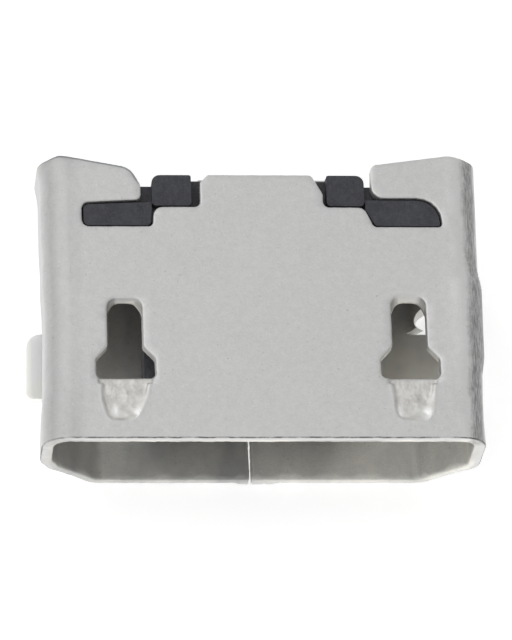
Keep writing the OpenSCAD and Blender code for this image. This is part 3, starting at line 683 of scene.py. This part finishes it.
def make_shell_skin():
    """The whole folded sheet as one closed mesh with rounded, slightly torn cut edges."""
    outlines = [outer_outline(), window_outline(-1), window_outline(1),
                foot_window_outline(-1), foot_window_outline(1)]
    rings = [cut_ring(number, loop) for number, loop in enumerate(outlines)]
    top_loops = [ring[0][0] for ring in rings]
    low_loops = [ring[-1][0] for ring in rings]
    top, top_tris = triangulated(top_loops, fill_points(top_loops, True))
    low, low_tris = triangulated(low_loops, fill_points(low_loops, False))

    # Rows of unfolded points (s, y), depths, and values of cut, the strength of the cut faces'
    # painted highlight: both skins, then the cut faces
    flat = [top, low]
    deep = [np.zeros(len(top)), np.full(len(low), SHEET)]
    cut = [np.zeros(len(top)), np.zeros(len(low))]
    faces = [tuple(f) for f in top_tris]
    faces += [tuple(f[::-1] + len(top)) for f in low_tris]
    base = len(top) + len(low)
    top_start, low_start = 0, len(top)
    for ring in rings:
        n = len(ring[0][0])
        index = [np.arange(n) + top_start]
        for points, t, bright in ring[1:-1]:
            flat.append(points)
            deep.append(t)
            cut.append(np.broadcast_to(bright, n))
            index.append(np.arange(n) + base)
            base += n
        index.append(np.arange(n) + low_start)
        for upper, lower in zip(index, index[1:]):
            for k in range(n):
                m = (k + 1) % n
                faces.append((upper[k], lower[k], lower[m], upper[m]))
        top_start += n
        low_start += n
    s, y = np.concatenate(flat).T
    t = np.concatenate(deep)
    mesh = bpy.data.meshes.new("shell_skin")
    mesh.from_pydata(sheet_points(s, y, t).tolist(), [], [tuple(int(i) for i in f) for f in faces])
    mesh.validate()
    mesh.update()
    mesh.shade_smooth()

    inner = (t > SHEET / 2).astype(float)
    coined = smooth(ramp_inside(s, y) / COINED_SOFT + 0.5) * (inner < 0.5)
    foot = in_foot(s, y) * smooth((FOOT_ROOT_S - np.abs(s) - FOOT_TONE_FROM) / FOOT_TONE_SOFT)
    # The attribute flare carries the ramps' painted highlights
    for name, values in (("cut", np.concatenate(cut)), ("inner", inner), ("coined", coined),
                         ("flare", ramp_glint(s, y) * coined), ("foot", foot), ("round", s),
                         ("deep", y)):
        attribute = mesh.attributes.new(name, "FLOAT", "POINT")
        attribute.data.foreach_set("value", values.astype(np.float32))
    skin = bpy.data.objects.new("shell_skin", mesh)
    bpy.context.scene.collection.objects.link(skin)
    weighted = skin.modifiers.new("normals", "WEIGHTED_NORMAL")
    weighted.weight = 95
    weighted.keep_sharp = False
    return skin


# Materials, all of plain shader nodes

class Nodes:
    """Short way to write a node material."""

    def __init__(self, name):
        self.material = bpy.data.materials.new(name)
        self.material.use_nodes = True
        self.tree = self.material.node_tree
        self.tree.nodes.clear()
        self.out = self.tree.nodes.new("ShaderNodeOutputMaterial")

    def node(self, kind, inputs=None, **settings):
        """New node with its settings, and with values or links for its inputs."""
        n = self.tree.nodes.new("ShaderNode" + kind)
        for key, value in settings.items():
            setattr(n, key, value)
        for key, value in (inputs or {}).items():
            self.put(n, key, value)
        return n

    def put(self, n, key, value):
        """Links or sets one input."""
        socket = n.inputs[key]
        if isinstance(value, bpy.types.Node):
            value = value.outputs[0]
        if isinstance(value, bpy.types.NodeSocket):
            self.tree.links.new(value, socket)
        elif isinstance(value, tuple) and socket.type == "RGBA":
            socket.default_value = value if len(value) == 4 else value + (1.0,)
        else:
            socket.default_value = value

    def math(self, operation, a, b=0.0):
        """One arithmetic step on two values."""
        n = self.node("Math", operation=operation)
        self.put(n, 0, a)
        self.put(n, 1, b)
        return n.outputs[0]

    def product(self, first, *others):
        """All the values multiplied."""
        for other in others:
            first = self.math("MULTIPLY", first, other)
        return first

    def attribute(self, name):
        """Value that the skin's mesh holds at each point."""
        return self.node("Attribute", attribute_name=name).outputs["Fac"]

    def mm(self, scale=(1.0, 1.0, 1.0)):
        """Place on the object in mm, stretched by a scale for each axis."""
        at = self.node("TexCoord").outputs["Object"]
        return self.node("Mapping", {"Vector": at, "Scale": tuple(v / MM for v in scale)})

    def noise(self, scale, detail=3.0, rough=0.55, at=None):
        """Cloudy pattern, about 0 to 1, with a scale in waves a mm."""
        n = self.node("TexNoise", {"Vector": at or self.mm(), "Scale": scale,
                                   "Detail": detail, "Roughness": rough})
        return n.outputs["Fac"]

    def ramp(self, value, stops):
        """Colours, or plain levels of grey, over a value from 0 to 1."""
        n = self.node("ValToRGB", {"Fac": value})
        band = n.color_ramp
        while len(band.elements) < len(stops):
            band.elements.new(0.5)
        for element, (position, colour) in zip(band.elements, stops):
            if not isinstance(colour, tuple):
                colour = (colour,) * 3
            element.position = position
            element.color = tuple(colour) + (1.0,)
        return n.outputs["Color"]

    def span(self, value, low, high, out_low=0.0, out_high=1.0):
        """Clamped step of a value from one level to another between low and high."""
        n = self.node("MapRange", {"Value": value, "From Min": low, "From Max": high,
                                   "To Min": out_low, "To Max": out_high})
        n.clamp = True
        return n.outputs[0]

    def mix(self, factor, a, b, blend="MIX"):
        """Colour a, with b laid over it by a factor."""
        n = self.node("Mix", data_type="RGBA", blend_type=blend)
        self.put(n, 0, factor)
        self.put(n, 6, a)
        self.put(n, 7, b)
        return n.outputs[2]

    def bump(self, height, micron, normal=None):
        """Fine relief, with the height in thousandths of a mm."""
        n = self.node("Bump", {"Height": height, "Distance": micron * 1e-6, "Strength": 1.0})
        if normal is not None:
            self.put(n, "Normal", normal)
        return n.outputs["Normal"]

    def surface(self, shader):
        """Ends the material with its shader."""
        self.tree.links.new(shader.outputs[0], self.out.inputs["Surface"])
        return self.material


# Tones of the tinned sheet, with its painted highlights, shades and reflections
TIN_LOW, TIN_HIGH, TIN_GRAIN = (0.70, 0.70, 0.695), (0.72, 0.72, 0.715), (0.84, 0.84, 0.83)
TIN_GREY, TIN_FLECK, TIN_NICK_DARK = (0.60, 0.60, 0.60), (0.48, 0.48, 0.47), (0.46, 0.46, 0.45)
TIN_DOT, TIN_PALE, TIN_GLINT = (0.95, 0.95, 0.94), (0.97, 0.97, 0.96), (1.0, 1.0, 0.99)
# Painted shade with scuffs, painted highlight on cut faces, painted shade on the rolled edge, a
# lighter warm tone inside and a painted shadow line
TIN_SHADE_AND_SCUFF, TIN_RIM_HIGHLIGHT, TIN_ROLL_SHADE = (0.18, 0.18, 0.18), (0.77, 0.765, 0.75), (0.27, 0.28, 0.30)
TIN_UNDER, TIN_LIP_SHADOW = (1.0, 0.975, 0.90), (0.17, 0.167, 0.165)
COINED_TONES = ((0.30, (0.60, 0.57, 0.53)), (0.52, (0.78, 0.77, 0.74)),
                (0.72, (0.92, 0.91, 0.88)))
# Painted reflections on the inner skin: levels over a cloudy noise
INNER_REFLECTION_CLOUDS = ((0.36, (0.80, 0.80, 0.80)), (0.50, (1.05, 1.04, 1.00)),
                (0.66, (1.28, 1.26, 1.19)))
# Painted shade on the left bend, for the plain grey that it reflects: levels over a stretch of the
# distance round the sheet
LEFT_BEND, LEFT_SHADE_LEVELS = (-3.85, -2.85), (
    (0.10, 0.88), (0.20, 0.80), (0.28, 0.74), (0.39, 0.69), (0.48, 0.75), (0.56, 0.80),
    (0.70, 0.89), (0.92, 1.0))
# The right bend has a painted highlight up to its band of painted shade, which also holds real
# scuffs.
# Both are given from the flat wall's end, the band with the width that it gains where the side
# wall bulges, from depth to depth.
LIGHT_RISE, LIGHT_FALL, SHADE_SCUFF_RISE = (-0.02, 0.10), (0.32, 0.20), (0.16, 0.27)
SHADE_SCUFF_END, SHADE_SCUFF_FADE, SHADE_SCUFF_GAIN = 0.52, 0.12, 0.26
BULGE_RISE, BULGE_FALL = (1.25, 1.55), (3.15, 2.90)
# Depths between which the inner skin is lighter and warmer, and place of the rolled hook edge with
# its painted shade
UNDER_FALL, UNDER_RISE = (2.9, 2.2), (0.9, 1.4)
ROLL_DEPTH = (HOOK_ROLL_Y, HOOK_ROLL_Y + HOOK_SOFT_Y)
ROLL_ROUND = (HOOK_ROLL_X, HOOK_ROLL_X - HOOK_SOFT_X)


def from_flat(stretch):
    """Stretch of the distance round the sheet, given from the end of the flat wide wall."""
    return tuple(FLAT_END + v for v in stretch)


def tin_grain(m, grain, middle_grain):
    """Base colour of the plain sheet and its bright dots."""
    cloud = m.noise(1.6, 3.0, 0.5)
    fleck = m.noise(16.0, 2.0, 0.5)
    nick = m.noise(1.0, 2.0, 0.6, m.mm((9.0, 26.0, 12.0)))
    dots = m.node("TexVoronoi", {"Vector": m.mm(), "Scale": 9.0, "Randomness": 1.0})
    bright_dot = m.product(m.math("LESS_THAN", dots.outputs["Distance"], 0.10),
                           m.math("GREATER_THAN", dots.outputs["Color"], 0.72))
    base = m.ramp(cloud, ((0.30, TIN_LOW), (0.70, TIN_HIGH)))
    for factor, tone in (
            (m.span(grain, 0.32, 0.70, 0.0, 0.75), TIN_GRAIN),
            (m.span(middle_grain, 0.38, 0.72, 0.0, 0.28), TIN_GREY),
            (m.span(fleck, 0.66, 0.76, 0.0, 0.5), TIN_FLECK),
            (m.span(nick, 0.70, 0.78, 0.0, 0.7), TIN_PALE),
            (m.span(nick, 0.30, 0.22, 0.0, 0.5), TIN_NICK_DARK),
            (m.product(bright_dot, 0.7), TIN_DOT)):
        base = m.mix(factor, base, tone)
    return base, bright_dot


def bend_tones(m, base, around, depth, patches, streaks):
    """The base with painted shade on the two bends and a painted highlight on the right one, and
    the strength of the right one's band of painted shade with scuffs.
    """
    place = m.math("ADD", around, m.span(patches, 0.3, 0.7, -0.04, 0.04))
    # Painted shade over the left bend
    base = m.mix(1.0, base, m.ramp(m.span(place, *LEFT_BEND), LEFT_SHADE_LEVELS), "MULTIPLY")
    # Painted highlight along the start of the right bend
    painted_light_strip = m.product(m.span(place, *from_flat(LIGHT_RISE)),
                        m.span(place, *from_flat(LIGHT_FALL)))
    base = m.mix(m.product(painted_light_strip, 0.5), base, TIN_PALE)
    # Band of painted shade over the right bend, wider where the side wall bulges, darkened further
    # by real scuff streaks
    bulge = m.product(m.span(depth, *BULGE_RISE), m.span(depth, *BULGE_FALL))
    far_edge = m.math("ADD", m.product(bulge, SHADE_SCUFF_GAIN), FLAT_END + SHADE_SCUFF_END)
    fade = m.math("DIVIDE", m.math("SUBTRACT", far_edge, place), SHADE_SCUFF_FADE)
    fade = m.math("MINIMUM", m.math("MAXIMUM", fade, 0.0), 1.0)
    shade_and_scuffs = m.product(m.span(place, *from_flat(SHADE_SCUFF_RISE)), fade)
    scratch = m.span(streaks, 0.36, 0.60)
    shade_and_scuff_dark = m.product(shade_and_scuffs, m.math("ADD", m.product(scratch, 0.50), 0.35))
    return m.mix(shade_and_scuff_dark, base, TIN_SHADE_AND_SCUFF), shade_and_scuffs


def tin_material():
    """Dull tinned sheet with mottled coined ramps, painted highlights on cut edges and ramps,
    painted shade on the bends, hook edge and mouth, painted reflections inside, and a lighter,
    warmer inside.
    """
    m = Nodes("tinned_sheet")
    cut, coined, inner = (m.attribute(name) for name in ("cut", "coined", "inner"))
    around, depth, flare = (m.attribute(name) for name in ("round", "deep", "flare"))
    grain = m.noise(30.0, 4.0, 0.7)
    middle_grain = m.noise(9.0, 4.0, 0.65)
    patches = m.noise(2.2, 4.0, 0.7)
    streaks = m.noise(1.0, 4.0, 0.7, m.mm((40.0, 5.0, 40.0)))
    base, bright_dot = tin_grain(m, grain, middle_grain)
    base, shade_and_scuffs = bend_tones(m, base, around, depth, patches, streaks)

    # Painted highlight on the cut faces, broken up by noise
    rim_highlight = m.product(m.span(cut, 0.15, 0.75), m.span(patches, 0.25, 0.7, 0.30, 1.0),
                    m.span(middle_grain, 0.32, 0.62, 1.0, 0.45))
    base = m.mix(m.product(rim_highlight, 0.8), base, TIN_RIM_HIGHLIGHT)
    # Painted shade on the rolled edge of the left rear hook
    rolled_edge_shade = m.product(m.span(depth, *ROLL_DEPTH), m.span(around, *ROLL_ROUND),
                          m.span(cut, 0.10, 0.45))
    base = m.mix(m.product(rolled_edge_shade, 0.75), base, TIN_ROLL_SHADE)
    base = m.mix(m.product(coined, 0.75), base, m.ramp(m.noise(5.0, 4.0, 0.7), COINED_TONES))
    # Painted highlights in the ramps' hollows
    base = m.mix(flare, base, TIN_GLINT)
    base = m.mix(m.product(m.attribute("foot"), 0.9), base, TIN_PALE)
    under = m.product(m.span(depth, *UNDER_FALL), m.span(depth, *UNDER_RISE), inner,
                      m.span(around, -1.0, 6.0, 0.0, 0.7))
    base = m.mix(under, base, TIN_UNDER)
    # Painted reflections on the inner skin, as soft clouds stretched along the depth
    painted_reflection_clouds = m.ramp(m.noise(0.8, 3.0, 0.5, m.mm((1.0, 0.6, 1.0))), INNER_REFLECTION_CLOUDS)
    base = m.mix(inner, base, m.mix(1.0, base, painted_reflection_clouds, "MULTIPLY"))
    outside = m.math("SUBTRACT", 1.0, m.span(inner, 0.2, 0.6))
    # Painted shadow line along the outer rounding of the mouth's edge, broken into dashes
    lip = m.product(m.span(depth, 0.05, 0.03), m.span(cut, 0.1, 0.4), m.span(cut, 0.98, 0.75),
                    outside, m.span(patches, 0.36, 0.56, 0.05, 0.95))
    base = m.mix(lip, base, TIN_LIP_SHADOW)

    rough = m.span(grain, 0.3, 0.7, 0.50, 0.60)
    rough = m.math("SUBTRACT", rough, m.product(coined, 0.10))
    rough = m.math("SUBTRACT", rough, m.product(flare, 0.12))
    height = m.math("ADD", grain, m.product(bright_dot, 0.8))
    height = m.math("ADD", height, m.product(shade_and_scuffs, streaks, 4.0))
    return m.surface(m.node("BsdfPrincipled", {
        "Base Color": base, "Metallic": 1.0, "Roughness": rough, "Normal": m.bump(height, 3.0)}))


MOULDED_LOW, MOULDED_HIGH = (0.026, 0.027, 0.034), (0.046, 0.048, 0.058)
MOULDED_GRAIN, MOULDED_SPOT = (0.10, 0.10, 0.115), (0.085, 0.087, 0.10)


def moulded_material():
    """Matte black moulded plastic with a cloudy, slightly uneven skin."""
    m = Nodes("moulded_black")
    grain = m.noise(30.0, 4.0, 0.6)
    cloud = m.noise(3.0, 3.0, 0.5)
    base = m.ramp(cloud, ((0.3, MOULDED_LOW), (0.7, MOULDED_HIGH)))
    base = m.mix(m.span(grain, 0.45, 0.75, 0.0, 0.5), base, MOULDED_GRAIN)
    spots = m.noise(12.0, 3.0, 0.6)
    base = m.mix(m.span(spots, 0.5, 0.75, 0.0, 0.4), base, MOULDED_SPOT)
    uneven = m.noise(4.0, 2.0, 0.5)
    return m.surface(m.node("BsdfPrincipled", {
        "Base Color": base, "Roughness": m.span(grain, 0.3, 0.7, 0.42, 0.6),
        "IOR": 1.5, "Normal": m.bump(grain, 4.0, m.bump(uneven, 30.0))}))


GOLD_LOW, GOLD_HIGH, TAIL_TIN = (0.83, 0.62, 0.28), (0.90, 0.70, 0.36), (0.66, 0.66, 0.65)
# Place in the part's frame from which the contacts are tinned towards their tails
TINNED_FROM = (1.35, 1.55)


def gold_material():
    """Gold-plated blades that turn into tinned uprights and tails."""
    m = Nodes("plated_contact")
    grain = m.noise(1.0, 3.0, 0.6, m.mm((50.0, 5.0, 50.0)))
    base = m.ramp(m.noise(4.0, 2.0), ((0.3, GOLD_LOW), (0.7, GOLD_HIGH)))
    place = m.node("SeparateXYZ", {"Vector": m.mm()})
    tail = m.span(place.outputs["Y"], *TINNED_FROM)
    base = m.mix(tail, base, TAIL_TIN)
    rough = m.math("ADD", m.span(grain, 0.3, 0.7, 0.18, 0.32), m.product(tail, 0.2))
    return m.surface(m.node("BsdfPrincipled", {
        "Base Color": base, "Metallic": 1.0, "Roughness": rough, "Normal": m.bump(grain, 1.5)}))


def floor_material():
    """Pale floor. The camera, mirrors and glass see its white, darkened where it is in shade."""
    m = Nodes("pale_floor")
    diffuse = m.node("BsdfDiffuse", {"Color": (0.80, 0.80, 0.80)})
    glow = m.node("Emission", {"Color": (1.0, 1.0, 1.0), "Strength": 0.55})
    path = m.node("LightPath")
    seen = m.math("MAXIMUM", path.outputs["Is Camera Ray"], path.outputs["Is Glossy Ray"])
    seen = m.math("MAXIMUM", seen, path.outputs["Is Transmission Ray"])
    both = m.node("AddShader")
    m.put(both, 0, diffuse)
    m.put(both, 1, glow)
    pick = m.node("MixShader")
    for place, part in enumerate((seen, diffuse, both)):
        m.put(pick, place, part)
    return m.surface(pick)


# Camera, lights and floor

def make_camera():
    """Camera fitted to the photograph: mostly above the wide wall, a little in front of it."""
    tilt, yaw, roll = math.radians(-21.4), math.radians(5.7), math.radians(1.98)
    distance, px_per_mm, off_x, off_y = 100.0, 59.75, 0.257, -1.342
    long_side_px, aim_depth = 640.0, 2.5
    turn = (Matrix.Rotation(roll, 3, "Z") @ Matrix.Rotation(tilt, 3, "X")
            @ Matrix.Rotation(yaw, 3, "Y"))
    aim = Vector((0.0, aim_depth - CENTRE_Y, SHELL_H / 2))
    eye = aim + turn.transposed() @ Vector((-off_x / px_per_mm, -off_y / px_per_mm, distance))
    data = bpy.data.cameras.new("camera")
    data.sensor_width = 36.0
    data.sensor_fit = "AUTO"
    data.lens = distance * px_per_mm * data.sensor_width / long_side_px
    data.clip_start = 0.01
    data.clip_end = 10.0
    camera = bpy.data.objects.new("camera", data)
    camera.matrix_world = Matrix.Translation(eye * MM) @ turn.transposed().to_4x4()
    bpy.context.scene.collection.objects.link(camera)
    bpy.context.scene.camera = camera


def add_lamp(name, place, size, level):
    """Square soft lamp, aimed at the part; level is the brightness of its face."""
    data = bpy.data.lights.new(name, "AREA")
    data.shape = "SQUARE"
    data.size = size * MM
    data.energy = level * math.pi * (size * MM) ** 2
    lamp = bpy.data.objects.new(name, data)
    lamp.location = Vector(place) * MM
    aim = Vector((0, 0, 1)) * MM - lamp.location
    lamp.rotation_euler = aim.to_track_quat("-Z", "Y").to_euler()
    bpy.context.scene.collection.objects.link(lamp)


def make_lights():
    """Three soft lamps and a plain bright world, at a level that shows colours as written."""
    add_lamp("key", (-240, 60, 340), 560, 0.70)
    add_lamp("side", (-500, -60, 90), 360, 0.30)
    add_lamp("front", (20, -500, 110), 330, 0.70)
    world = bpy.data.worlds.new("studio")
    bpy.context.scene.world = world
    world.use_nodes = True
    background = world.node_tree.nodes["Background"]
    background.inputs["Color"].default_value = (1, 1, 1, 1)
    background.inputs["Strength"].default_value = 0.52


def make_floor():
    """Square floor, a hair below the board plane so that it never meets the feet."""
    mesh = bpy.data.meshes.new("floor")
    half, below = 300 * MM, 0.02 * MM
    mesh.from_pydata([(-half, -half, 0), (half, -half, 0), (half, half, 0), (-half, half, 0)],
                     [], [(0, 1, 2, 3)])
    floor = bpy.data.objects.new("floor", mesh)
    floor.location.z = -below
    bpy.context.scene.collection.objects.link(floor)
    floor.data.materials.append(floor_material())


# Pieces

CONTACTS = ("contact_power", "contact_data_minus", "contact_data_plus", "contact_ident",
            "contact_ground")


def dress(node, material):
    """Gives a CAD piece its material and even shading. Its edges stay sharp."""
    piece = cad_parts[node]
    piece.data.materials.clear()
    piece.data.materials.append(material)
    flat = piece.modifiers.new("flat", "DECIMATE")
    flat.decimate_type = "DISSOLVE"
    flat.angle_limit = math.radians(3)
    weighted = piece.modifiers.new("normals", "WEIGHTED_NORMAL")
    weighted.weight = 60


make_camera()
make_lights()
make_floor()

skin = make_shell_skin()
skin.data.materials.append(tin_material())
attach(skin, "root")
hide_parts("shell")

dress("housing", moulded_material())
gold = gold_material()
for contact in CONTACTS:
    dress(contact, gold)

bpy.context.scene.view_settings.view_transform = "Standard"
